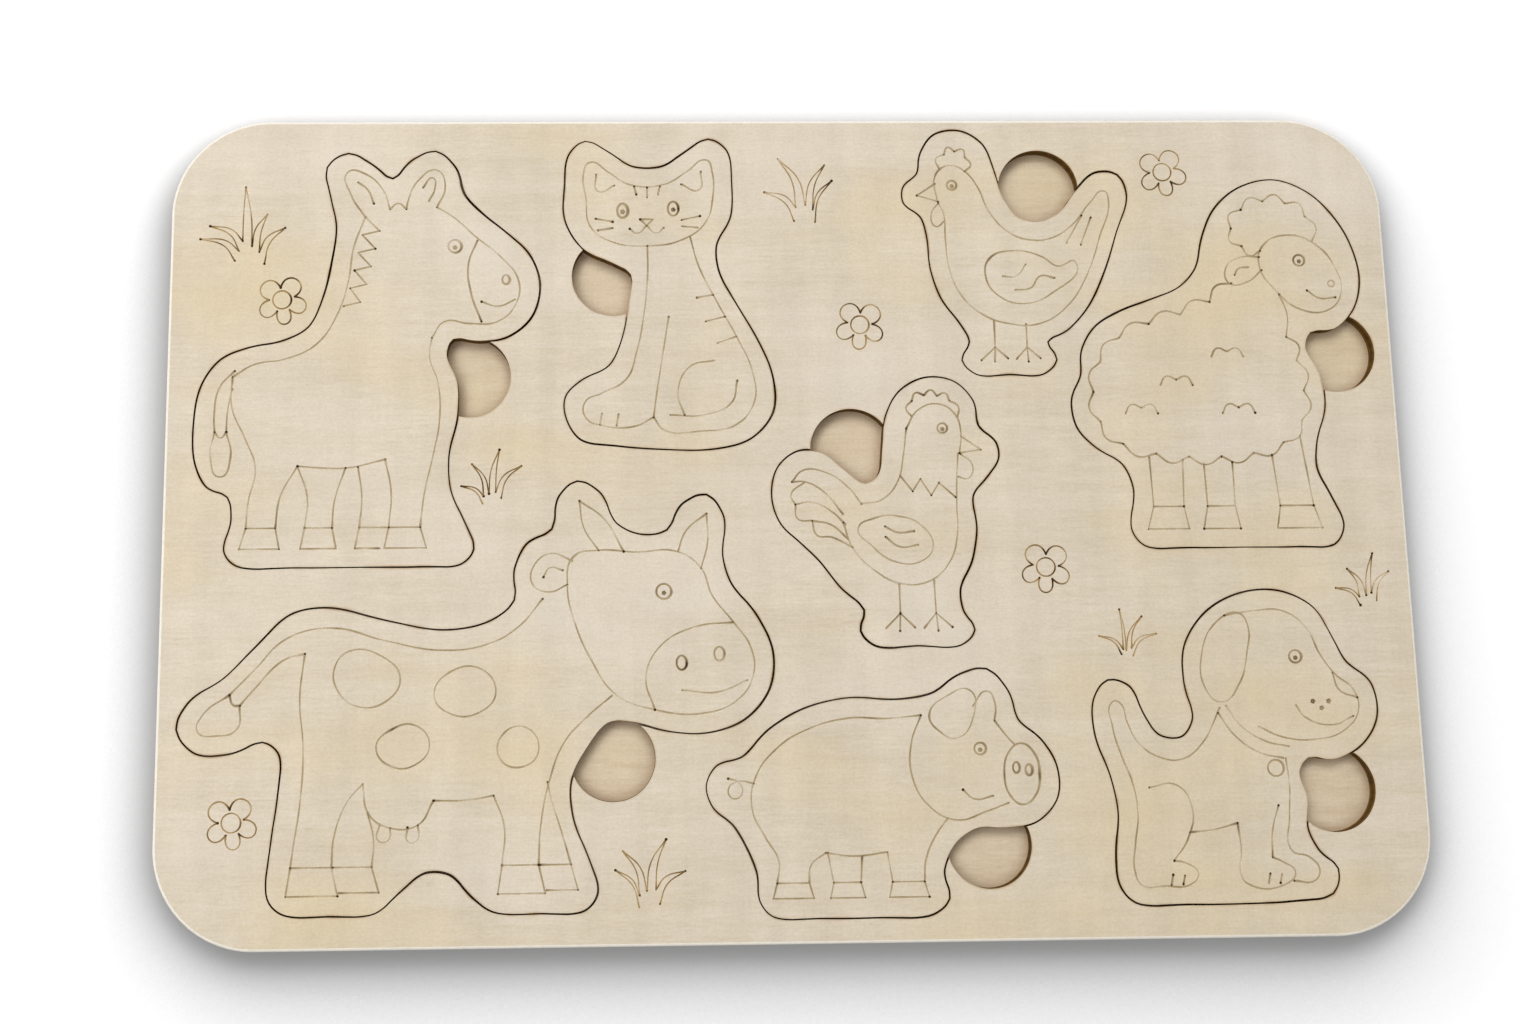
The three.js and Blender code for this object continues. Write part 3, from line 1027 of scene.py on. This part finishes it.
def stroke_object(name: str, strokes: list[Stroke], corner: Vector) -> Object:
    """Lays strokes out as Bezier curves.

    Args:
        name: The object's name.
        strokes: The strokes, in millimetres.
        corner: Where their corner lies, in metres.

    Returns:
        The curve object.
    """
    data = bpy.data.curves.new(name, "CURVE")
    data.dimensions = "3D"
    for stroke in strokes:
        spline = data.splines.new("BEZIER")
        spline.bezier_points.add(len(stroke.points) - 1)
        spline.use_cyclic_u = stroke.line is Line.LOOP
        spline.resolution_u = 1 if stroke.line is Line.STRAIGHT else CURVE_STEPS
        handle = "VECTOR" if stroke.line is Line.STRAIGHT else "AUTO"
        for knot, (x, y) in zip(spline.bezier_points, stroke.points):
            knot.co = (corner.x + x * MM, corner.y + y * MM, 0.0)
            knot.handle_left_type = handle
            knot.handle_right_type = handle
            knot.radius = stroke.heat
    return placed(name, data)


def joined(meshes: list[Mesh]) -> Tracks:
    """Puts several meshes in one list of points, edges and faces.

    Args:
        meshes: The meshes.

    Returns:
        The points, edges and faces.
    """
    points, edges, faces = [], [], []
    for mesh in meshes:
        start = len(points)
        points.extend(vertex.co.copy() for vertex in mesh.vertices)
        edges.extend((edge.vertices[0] + start, edge.vertices[1] + start) for edge in mesh.edges)
        faces.extend(tuple(start + corner for corner in face.vertices) for face in mesh.polygons)
    return points, edges, faces


# Outlines of the sheets

def outlines(mesh: Mesh) -> list[list[Vector]]:
    """The closed outlines of a flat solid's upper face, with the wood to their left.

    Args:
        mesh: The solid's mesh.

    Returns:
        The outlines' points, flat.
    """
    solid = bmesh.new()
    solid.from_mesh(mesh)
    bmesh.ops.remove_doubles(solid, verts=solid.verts, dist=WELD)
    upper = dict.fromkeys(face for face in solid.faces if face.normal.z > UPWARD)
    ahead = {}
    for corner in (corner for face in upper for corner in face.loops):
        if sum(face in upper for face in corner.edge.link_faces) == 1:
            ahead[corner.vert] = corner.link_loop_next.vert
    found = []
    while ahead:
        at = next(iter(ahead))
        walk = []
        while at in ahead:
            walk.append(at.co.to_2d())
            at = ahead.pop(at)
        found.append(walk)
    solid.free()
    return found


def area(points: list[Vector]) -> float:
    """The signed area of an outline, negative round a hole."""
    return sum(a.cross(b) for a, b in zip(points, points[1:] + points[:1])) / 2


def rounded(points: list[Vector]) -> list[Vector]:
    """Rounds a faceted outline by a smooth curve through its points, and keeps its sharp corners.

    Args:
        points: The outline.

    Returns:
        The finer outline.
    """
    count = len(points)
    runs = [points[(i + 1) % count] - points[i] for i in range(count)]
    ways = [run.normalized() for run in runs]
    leave, reach = list(ways), list(ways)
    for i in range(count):
        if ways[i - 1].angle(ways[i]) < SHARP_TURN:
            before, after = runs[i - 1].length, runs[i].length
            way = (ways[i - 1] * after + ways[i] * before).normalized()
            leave[i] = way
            reach[i - 1] = way
    finer = []
    for i in range(count):
        start, end, length = points[i], points[(i + 1) % count], runs[i].length
        for step in range(FACET_PARTS if length < LONGEST_FACET else 1):
            t = step / FACET_PARTS
            bend = leave[i] * (t * (1 - t) ** 2) - reach[i] * (t * t * (1 - t))
            finer.append(start.lerp(end, t * t * (3 - 2 * t)) + bend * length)
    return finer


def inset(points: list[Vector], distances: list[float]) -> list[Vector]:
    """Moves an outline into the wood on its left.

    Args:
        points: The outline.
        distances: How far each point moves.

    Returns:
        The moved points.
    """
    moved = []
    for i, (here, distance) in enumerate(zip(points, distances)):
        first = (here - points[i - 1]).normalized()
        second = (points[(i + 1) % len(points)] - here).normalized()
        side = Vector((-first.y - second.y, first.x + second.x))
        moved.append(here + side * (distance / max(TIGHTEST_MITRE, side.length_squared / 2)))
    return moved


# Sheets, rebuilt from their outlines

@dataclass(frozen=True)
class Rim:
    """One step of a sheet's side: how far it is set in, how high it is, and the finish below it."""

    inset: float
    height: float
    finish: Finish = Finish.BURNT_CUT


@dataclass
class SheetMesh:
    """A sheet's mesh as it grows: points with their burn and scorch, and faces with their finish."""

    points: list[Vector] = field(default_factory=list)
    burns: list[float] = field(default_factory=list)
    scorches: list[float] = field(default_factory=list)
    faces: list[tuple[int, ...]] = field(default_factory=list)
    finishes: list[Finish] = field(default_factory=list)

    def point(self, place: Vector, burn: float = 0.0, scorch: float = 0.0) -> int:
        """Adds one point.

        Args:
            place: Where it is.
            burn: How deep the laser burns it, as a share of a pit.
            scorch: One beside a burnt cut, else nought.

        Returns:
            Its number.
        """
        self.points.append(place)
        self.burns.append(burn)
        self.scorches.append(scorch)
        return len(self.points) - 1

    def face(self, corners: tuple[int, ...], finish: Finish) -> None:
        """Adds one face."""
        self.faces.append(corners)
        self.finishes.append(finish)

    def piece(self, name: str, finishes: list[Material]) -> Object:
        """Makes the mesh an object.

        Args:
            name: Its name.
            finishes: Its materials, in the order of the finishes.

        Returns:
            The object.
        """
        mesh = bpy.data.meshes.new(name)
        mesh.from_pydata(self.points, [], self.faces)
        mesh.polygons.foreach_set("material_index", [finish.value for finish in self.finishes])
        mesh.polygons.foreach_set("use_smooth", [finish is Finish.SANDED_EDGE for finish in self.finishes])
        for attribute, values in (("burn", self.burns), ("scorch", self.scorches)):
            mesh.attributes.new(attribute, "FLOAT", "POINT").data.foreach_set("value", values)
        for finish in finishes:
            mesh.materials.append(finish)
        mesh.update()
        return placed(name, mesh)


@dataclass
class Sheet:
    """A flat sheet of plywood, rebuilt from the outline of the solid that it stands for."""

    node: str
    body: str
    slot: Slot
    finishes: list[Material]
    trees: TrackTrees
    laser: Laser = Laser()
    chamfer: float = 0.02 * MM
    scorch_width: float = 0.5 * MM
    edge_radius: float = 0.7 * MM
    edge_steps: int = 5
    kerf_wander: float = 0.12 * MM
    kerf_run: float = 18 * MM
    mesh: SheetMesh = field(init=False, default_factory=SheetMesh)

    def cut_side(self, low: float, high: float) -> list[Rim]:
        """The side of a burnt cut, sharp but for a narrow chamfer at the top."""
        return [Rim(0, low), Rim(0, high - self.chamfer), Rim(self.chamfer, high)]

    def sanded_side(self, low: float, high: float) -> list[Rim]:
        """The board's own side, sanded round at the top.

        Args:
            low: The sheet's underside.
            high: The sheet's upper face.

        Returns:
            The steps from the underside up.
        """
        rims = [Rim(0, low, Finish.SANDED_EDGE)]
        for step in range(self.edge_steps + 1):
            turn = math.pi / 2 * step / self.edge_steps
            back = self.edge_radius * (1 - math.cos(turn))
            rims.append(Rim(back, high - self.edge_radius * (1 - math.sin(turn)), Finish.SANDED_EDGE))
        return rims

    def side(self, outline: list[Vector], low: float, high: float) -> list[Rim]:
        """The side along one outline, a burnt cut unless the sheet has another."""
        return self.cut_side(low, high)

    def stray(self, spot: Vector, rim: Rim) -> float:
        """How far a side is set in at one spot, where a burnt cut strays a little from its outline."""
        burnt = rim.finish is Finish.BURNT_CUT
        return rim.inset + (self.kerf_wander * noise.noise((spot / self.kerf_run).to_3d()) if burnt else 0.0)

    def tracks(self) -> list[Mesh]:
        """The laser's tracks on this sheet, none on a plain one."""
        return []

    def stroke_tracks(self, strokes: list[Stroke], corner: Vector, laser: Laser) -> Mesh:
        """Sweeps the laser along strokes.

        Args:
            strokes: The strokes.
            corner: Where their corner lies.
            laser: The line's sizes.

        Returns:
            The tracks.
        """
        drawn = stroke_object(self.node + "_strokes", strokes, corner)
        inputs = laser.sizes() | {"Strokes": drawn, "Finish": self.finishes[Finish.FACE.value]}
        name = self.node + "_tracks"
        made = run_tree(name, bpy.data.meshes.new(name), self.trees.strokes, inputs)
        bpy.data.objects.remove(drawn)
        return made

    def build(self) -> Object:
        """Builds the sheet, presses its tracks in, and stands it for its solid.

        Returns:
            The finished piece.
        """
        sides = [self.wall(rounded(outline)) for outline in outlines(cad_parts[self.node].data)]
        self.fill([rows[0] for rows in sides], joined([]), True)
        self.fill([rows[-1] for rows in sides], joined(self.tracks()), False)
        piece = self.mesh.piece(self.node + "_sheet", self.finishes)
        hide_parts(self.node)
        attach(piece, self.body)
        return piece

    def wall(self, outline: list[Vector]) -> list[list[int]]:
        """Builds the side along one outline.

        Args:
            outline: The outline.

        Returns:
            The numbers of the points in each row, from the underside up.
        """
        low, high = (corner.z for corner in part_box(self.node))
        rims = self.side(outline, low, high)
        rows = []
        for rim in rims:
            moved = inset(outline, [self.stray(spot, rim) for spot in outline])
            scorch = 1.0 if rim.finish is Finish.BURNT_CUT else 0.0
            rows.append([self.mesh.point(spot.to_3d() + UP * rim.height, scorch=scorch) for spot in moved])
        for rim, below, above in zip(rims[1:], rows, rows[1:]):
            for i in range(len(outline)):
                self.mesh.face((below[i - 1], below[i], above[i], above[i - 1]), rim.finish)
        return rows

    def fill(self, rims: list[list[int]], tracks: Tracks, under: bool) -> None:
        """Fills the face between the rims, with the tracks pressed into it.

        Args:
            rims: The numbers of the points in each rim that bounds the face.
            tracks: The tracks' points, edges and faces, with their depth below zero.
            under: True for the underside, which faces down.
        """
        members = [corner for rim in rims for corner in rim]
        level = self.mesh.points[members[0]].z
        flat = [self.mesh.points[corner].to_2d() / MM for corner in members]
        bounds, holes = [], set()
        for rim in rims:
            start = sum(len(bound) for bound in bounds)
            walk = list(range(start, start + len(rim)))
            if area([flat[corner] for corner in walk]) < 0:
                holes.add(len(bounds))
                walk.reverse()
            bounds.append(walk)
        edges = [] if under else self.scorched_rims(rims, flat)
        track_points, track_edges, track_faces = tracks
        edges.extend((a + len(flat), b + len(flat)) for a, b in track_edges)
        flat.extend(point.to_2d() / MM for point in track_points)
        spots, _, shapes, origins, _, owners = delaunay_2d_cdt(flat, edges, bounds, 0, CLOSE, True)
        swept = None
        if track_faces:
            swept = BVHTree.FromPolygons([point / MM for point in track_points], track_faces)
        numbers = {}
        for shape, inside in zip(shapes, owners):
            if not inside or holes & set(inside):
                continue
            for corner in shape:
                if corner not in numbers:
                    known = [members[origin] for origin in origins[corner] if origin < len(members)]
                    numbers[corner] = known[0] if known else self.press(swept, spots[corner], level)
            face = tuple(numbers[corner] for corner in shape)
            if len(set(face)) == len(face):
                self.mesh.face(face[::-1] if under else face, Finish.FACE)

    def scorched_rims(self, rims: list[list[int]], flat: list[Vector]) -> list[tuple[int, int]]:
        """Lines inside the rims, where the scorch ends, left out where the wood is too narrow for them.

        Args:
            rims: The numbers of the points in each rim.
            flat: The points of the triangulation, in millimetres, which grow.

        Returns:
            The lines' edges, as places in flat.
        """
        walls = BVHTree.FromPolygons(self.mesh.points, self.mesh.faces)
        edges = []
        for rim in rims:
            outer = [self.mesh.points[corner].to_2d() for corner in rim]
            half_height = UP * (self.mesh.points[rim[0]].z - SHEET_THICKNESS / 2)
            kept = {}
            for i, (here, inner) in enumerate(zip(outer, inset(outer, [self.scorch_width] * len(rim)))):
                way = (inner - here).to_3d()
                if walls.ray_cast(here.to_3d() + half_height, way, SCORCH_CLEAR * way.length)[0] is None:
                    kept[i] = len(flat)
                    flat.append(inner / MM)
            for i, place in kept.items():
                after = (i + 1) % len(rim)
                if after in kept:
                    edges.append((place, kept[after]))
        return edges

    def press(self, swept: BVHTree | None, spot: Vector, level: float) -> int:
        """Adds a point of a face, pressed in as deep as the tracks reach there.

        Args:
            swept: The tracks, in millimetres, with their depth below zero.
            spot: Where the point is, in millimetres.
            level: The height of the face.

        Returns:
            The point's number.
        """
        hit = None
        if swept is not None:
            hit = swept.ray_cast(Vector((spot.x, spot.y, TRACKS_BELOW)), UP)[0]
        depth = 0.0 if hit is None else max(0.0, -hit.z * MM)
        place = (spot * MM).to_3d() + UP * (level - depth)
        return self.mesh.point(place, burn=depth / self.laser.pit_depth)


@dataclass
class BackingBoard(Sheet):
    """The sheet under the tray, sanded round along its lower edge."""

    def side(self, outline: list[Vector], low: float, high: float) -> list[Rim]:
        """The sanded side, turned over so that its round is below."""
        turned = [Rim(rim.inset, low + high - rim.height, rim.finish) for rim in self.sanded_side(low, high)]
        return turned[::-1]


@dataclass
class TrayFrame(Sheet):
    """The top sheet, with its pockets and notches, and flowers and grass engraved between them.

    The flowers and tufts are placed in millimetres from the middle of the board.
    """

    laser: Laser = Laser(line_width=0.42 * MM, line_depth=0.17 * MM)
    grass_laser: Laser = Laser(line_width=0.36 * MM, line_depth=0.15 * MM)
    flower: Flower = Flower()
    flower_places: tuple[Point, ...] = (
        (-122.6, 54.5), (18.5, 47.5), (95.5, 86.3), (61.5, -12.6), (-131.9, -70.7))
    tufts: tuple[Tuft, ...] = (
        Tuft(-130.7, 63.6, ((-12.1, 6.3), (-9.8, 9.6), (-1.3, 19.5), (4.1, 12.5), (8.5, 9.1)),
             ((-3.6, 0.8), (-2.6, 3.2), (-1.8, 5.8), (0.5, 4.5), (2.3, 3), (3.6, 0))),
        Tuft(5.6, 73.7, ((-9.8, 7.7), (-6.3, 16.3), (5.3, 14.7), (7, 10.6)),
             ((-2.6, 0.3), (-2.1, 3.8), (0.3, 4.4), (2.1, 3.2), (2.6, 0))),
        Tuft(-71.5, 3.8, ((-7.4, 4.4), (-4.8, 9.7), (1.8, 13.2), (7.1, 9.2)),
             ((-2.2, 0), (-2, 1.9), (-0.7, 2.5), (0.9, 2.9), (2.2, 1.4))),
        Tuft(80.1, -34.1, ((-6.6, 4.8), (-1.4, 11.1), (3.9, 9.4), (7.2, 5.2)),
             ((-1.4, 0.4), (-0.9, 1.6), (-0.2, 1.2), (1.1, 1.9), (1.4, 0))),
        Tuft(139.3, -22.5, ((-7.7, 4.2), (-4.6, 8.8), (1.8, 12.5), (5.4, 8.1)),
             ((-2, 0), (-2.1, 2.1), (-0.4, 2.4), (0.9, 3), (2, 1))),
        Tuft(-34.8, -91.2, ((-7.9, 8.6), (-6.2, 13), (4, 15.5), (8.4, 8.2)),
             ((-2.4, 0), (-2.3, 2.8), (-0.6, 3.8), (1.5, 4), (2.4, 0.8))),
    )

    def side(self, outline: list[Vector], low: float, high: float) -> list[Rim]:
        """The board's sanded side outside, and burnt cuts round the pockets."""
        return self.sanded_side(low, high) if area(outline) > 0 else self.cut_side(low, high)

    def tracks(self) -> list[Mesh]:
        """The tracks of the grass and the flowers.

        Returns:
            The two meshes of tracks.
        """
        blades = [stroke for tuft in self.tufts for stroke in tuft.strokes()]
        grass = self.stroke_tracks(blades, Vector(), self.grass_laser)
        places = bpy.data.meshes.new("flower_places")
        places.from_pydata([(x * MM, y * MM, 0.0) for x, y in self.flower_places], [], [])
        inputs = self.laser.sizes() | self.flower.sizes() | {"Finish": self.finishes[Finish.FACE.value]}
        return [grass, run_tree("flowers", places, self.trees.flowers, inputs)]


@dataclass
class AnimalPiece(Sheet):
    """One loose animal with its engraved drawing."""

    drawing: list[Stroke] = field(default_factory=list)

    def tracks(self) -> list[Mesh]:
        """The tracks of the animal's drawing."""
        return [self.stroke_tracks(self.drawing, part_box(self.node)[0], self.laser)]


# Studio

@dataclass(frozen=True)
class Lamp:
    """A soft lamp that faces the middle of the board."""

    name: str
    place: Triple
    width: float
    height: float
    watts: float

    def build(self) -> Object:
        """Hangs the lamp.

        Returns:
            The lamp.
        """
        data = bpy.data.lights.new(self.name, "AREA")
        data.shape = "RECTANGLE"
        data.size = self.width
        data.size_y = self.height
        data.energy = self.watts
        lamp = placed(self.name, data)
        lamp.location = self.place
        lamp.rotation_euler = (-Vector(self.place)).to_track_quat("-Z", "Y").to_euler()
        return lamp


@dataclass(frozen=True)
class Studio:
    """A pale floor with a painted shadow beside the board, soft light from the upper left, and the camera
    almost straight above.
    """

    floor_size: float = 6.0
    floor_drop: float = 0.1 * MM
    floor_colour: Colour = (253, 253, 254)
    floor_glow: float = 0.185
    floor_fade: Point = (0.28, 0.9)
    # The painted shadow on the floor: its reach, its darkest colour, its steepness and the lean of its
    # half-sphere.
    contact: float = 32 * MM
    contact_colour: Colour = (112, 112, 113)
    contact_depth: float = 5.0
    contact_lean: Triple = (0.03, 0.42, 0.9)
    sky: float = 0.47
    camera_place: Triple = (-46.16 * MM, -53.64 * MM, 386.26 * MM)
    camera_turn: Triple = (8.274, -1.342, -0.663)
    nearest: float = 10 * MM
    lens: float = 37.5
    sensor: float = 36.0
    shift: float = 0.085
    lamps: tuple[Lamp, ...] = (
        Lamp("key", (-0.45, 1.1, 1.55), 1.9, 0.9, 19.5),
        Lamp("overhead", (-0.7, -0.05, 0.75), 0.5, 0.5, 2.0),
    )

    def pale_floor(self) -> Material:
        """The floor's finish, with a painted shadow beside the board that is strongest in front of it, which
        the camera sees fade to white further off.

        Returns:
            The material.
        """
        made, nodes, place = new_material("pale_floor")
        seen = nodes.shader("LightPath", output="Is Camera Ray")
        away = nodes.shader("VectorMath", {0: place}, "Value", operation="LENGTH")
        # Painted shadow: the floor's colour darkens towards grey as the board fills a half-sphere leaned
        # towards the back.
        inputs = {"Distance": self.contact, "Normal": nodes.vector(*self.contact_lean)}
        open_sky = nodes.shader("AmbientOcclusion", inputs, "AO")
        shade = nodes.math("POWER", open_sky, self.contact_depth)
        shaded = nodes.mix(shade, self.contact_colour, self.floor_colour)
        matt = nodes.shader("BsdfDiffuse", {"Color": shaded})
        glow = nodes.shader("Emission", {"Strength": nodes.times(seen, self.floor_glow)})
        near = nodes.shader("AddShader", {0: matt, 1: glow})
        white = nodes.shader("Emission", {"Strength": 1.0})
        fade = nodes.times(seen, nodes.between(away, *self.floor_fade))
        mixed = nodes.shader("MixShader", {0: fade, 1: near, 2: white})
        nodes.add("ShaderNodeOutputMaterial", {"Surface": mixed})
        return made

    def floor(self) -> Object:
        """Lays the floor just under the board.

        Returns:
            The floor.
        """
        half = self.floor_size / 2
        mesh = bpy.data.meshes.new("floor")
        corners = ((-half, -half), (half, -half), (half, half), (-half, half))
        mesh.from_pydata([(x, y, -self.floor_drop) for x, y in corners], [], [(0, 1, 2, 3)])
        mesh.materials.append(self.pale_floor())
        floor = placed("floor", mesh)
        return floor

    def camera(self) -> Object:
        """Sets the camera up.

        Returns:
            The camera.
        """
        data = bpy.data.cameras.new("camera")
        data.sensor_width = self.sensor
        data.lens = self.lens
        data.shift_x = self.shift
        data.clip_start = self.nearest
        camera = placed("camera", data)
        camera.location = self.camera_place
        camera.rotation_euler = [math.radians(turn) for turn in self.camera_turn]
        bpy.context.scene.camera = camera
        return camera

    def world(self) -> World:
        """Sets up the even light from all round, which the camera sees as white.

        Returns:
            The world.
        """
        world = bpy.data.worlds.new("studio")
        world.use_nodes = True
        nodes = Nodes(world.node_tree)
        seen = nodes.shader("LightPath", output="Is Camera Ray")
        strength = nodes.between(seen, 0.0, 1.0, (self.sky, 1.0))
        sky = nodes.shader("Background", {"Color": linear((255, 255, 255)), "Strength": strength})
        nodes.add("ShaderNodeOutputWorld", {"Surface": sky})
        bpy.context.scene.world = world
        return world

    def build(self) -> None:
        """Sets up the floor, the camera, the light and the plain view of colours."""
        self.floor()
        self.camera()
        for lamp in self.lamps:
            lamp.build()
        self.world()
        bpy.context.scene.view_settings.view_transform = "Standard"


def sheets() -> list[Sheet]:
    """The sheets in the order that they are built in, with their finishes.

    Returns:
        The sheets.
    """
    trees = TrackTrees()
    cut = PlyEdge(name="burnt_cut", outer_ply=(112, 83, 42), inner_ply=(90, 64, 28), glue=(56, 36, 12),
                  grit=0.25, specular=0.06).material()
    # The sanded side is pale wood, made paler still than the face as a painted highlight along its rounded
    # rim.
    edge = PlyEdge(name="sanded_edge_and_highlight", outer_ply=(246, 239, 226), inner_ply=(222, 204, 174),
                   glue=(190, 162, 122), grit=0.04).material()
    # The backing's face has painted shade in the corners of its pockets.
    backing = PlywoodFace(name="backing_face", pale=(234, 217, 189), deep=(210, 188, 155),
                          flush=(226, 205, 176), honey=(224, 204, 168), smoke_reach=3 * MM).material()
    top = PlywoodFace(name="sheet_face").material()
    frame_top = PlywoodFace(name="frame_face", line=(180, 150, 98), pit_heat=(0.38, 0.74)).material()
    board = BackingBoard("backing_board", "tray", Slot.BACKING, [backing, cut, edge], trees)
    tray = TrayFrame("tray_frame", "tray", Slot.FRAME, [frame_top, cut, edge], trees)
    animals = [AnimalPiece(name, name + "_piece", Slot.PIECE, [top, cut, edge], trees, drawing=drawing)
               for name, drawing in DRAWINGS.items()]
    return [board, tray, *animals]


def main() -> None:
    """Builds the studio, the tray and the animals in order."""
    logging.basicConfig(level=logging.INFO, format="%(message)s")
    Studio().build()
    for sheet in sheets():
        piece = sheet.build()
        log.info("%s: %d faces", piece.name, len(piece.data.polygons))


if __name__ == "__main__":
    main()
